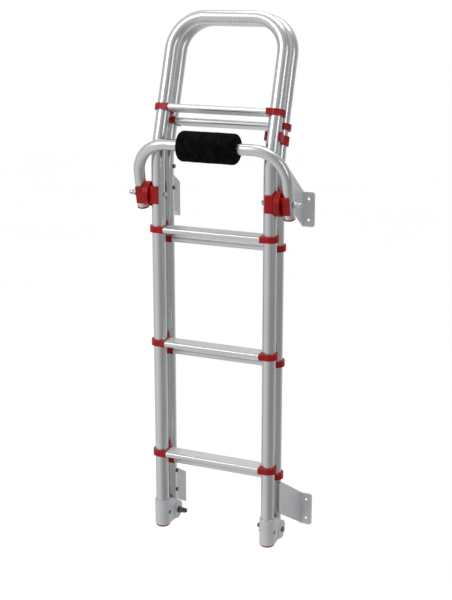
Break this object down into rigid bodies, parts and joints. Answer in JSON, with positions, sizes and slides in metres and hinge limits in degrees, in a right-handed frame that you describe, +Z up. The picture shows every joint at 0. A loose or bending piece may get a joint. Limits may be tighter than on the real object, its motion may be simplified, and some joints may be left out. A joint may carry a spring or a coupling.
{
  "type": "folding tailgate ladder step",
  "caption": "Folding tailgate ladder: bracketed rear hoop, fold-down front hoop with grooved treads, and a hinged stand-off bar with foam roller.",
  "frame": {"origin": "centre of the four lower bracket holes, on the rear faces of the lower flanges", "axes": "+X to the right of someone facing the ladder, +Y rearward into the vehicle door, +Z up"},
  "size_m": [0.4072, 0.2357, 1.2241],
  "materials": {
    "satin_tube": "satin anodised",
    "tread": "satin grooved extrusion",
    "red_plastic": "moulded, semi-gloss",
    "cast_grey": "light grey coated casting",
    "bracket_sheet": "grey coated sheet",
    "zinc_steel": "bright zinc",
    "dark_steel": "dark zinc",
    "foam": "closed-cell foam, matt"
  },
  "bodies": {
    "upper_section": {"rear_hoop": "satin_tube", "rear_step_1": "tread", "rear_step_2": "tread", "rear_step_3": "tread", "rear_step_4": "tread", "rear_step_1_ends": "red_plastic", "rear_step_2_ends": "red_plastic", "rear_step_3_ends": "red_plastic", "rear_step_4_ends": "red_plastic", "lower_bracket_right": "bracket_sheet", "lower_bracket_left": "bracket_sheet", "upper_bracket_right": "bracket_sheet", "upper_bracket_left": "bracket_sheet", "bracket_bolts": "bracket_sheet", "bracket_nuts": "dark_steel", "bracket_saddles": "bracket_sheet", "rail_clip": "red_plastic", "pivot_bolts": "dark_steel", "pivot_nuts": "dark_steel"},
    "lower_section": {"front_hoop": "satin_tube", "front_step_1": "tread", "front_step_2": "tread", "front_step_3": "tread", "front_step_4": "tread", "front_step_1_ends": "red_plastic", "front_step_2_ends": "red_plastic", "front_step_3_ends": "red_plastic", "front_step_4_ends": "red_plastic", "knuckle_right": "cast_grey", "knuckle_left": "cast_grey", "foot_plugs": "red_plastic", "knuckle_rivets": "dark_steel", "rail_clamp_right": "red_plastic", "rail_clamp_left": "red_plastic", "clamp_bolts": "zinc_steel", "clamp_washers": "zinc_steel", "clamp_nuts": "zinc_steel"},
    "standoff_bar_body": {"standoff_bar": "satin_tube", "foam_roller": "foam", "bar_end_plugs": "red_plastic", "bar_clamp_right": "red_plastic", "bar_clamp_left": "red_plastic"}
  },
  "joints": [
    {"name": "section_fold", "type": "hinge", "parent": "upper_section", "child": "lower_section", "pos_m": [0, -0.1305, 0.005], "axis": [1, 0, 0], "range_deg": [0, 180]},
    {"name": "standoff_swing", "type": "hinge", "parent": "lower_section", "child": "standoff_bar_body", "pos_m": [0, -0.1768, 0.786], "axis": [1, 0, 0], "range_deg": [0, 120]}
  ]
}
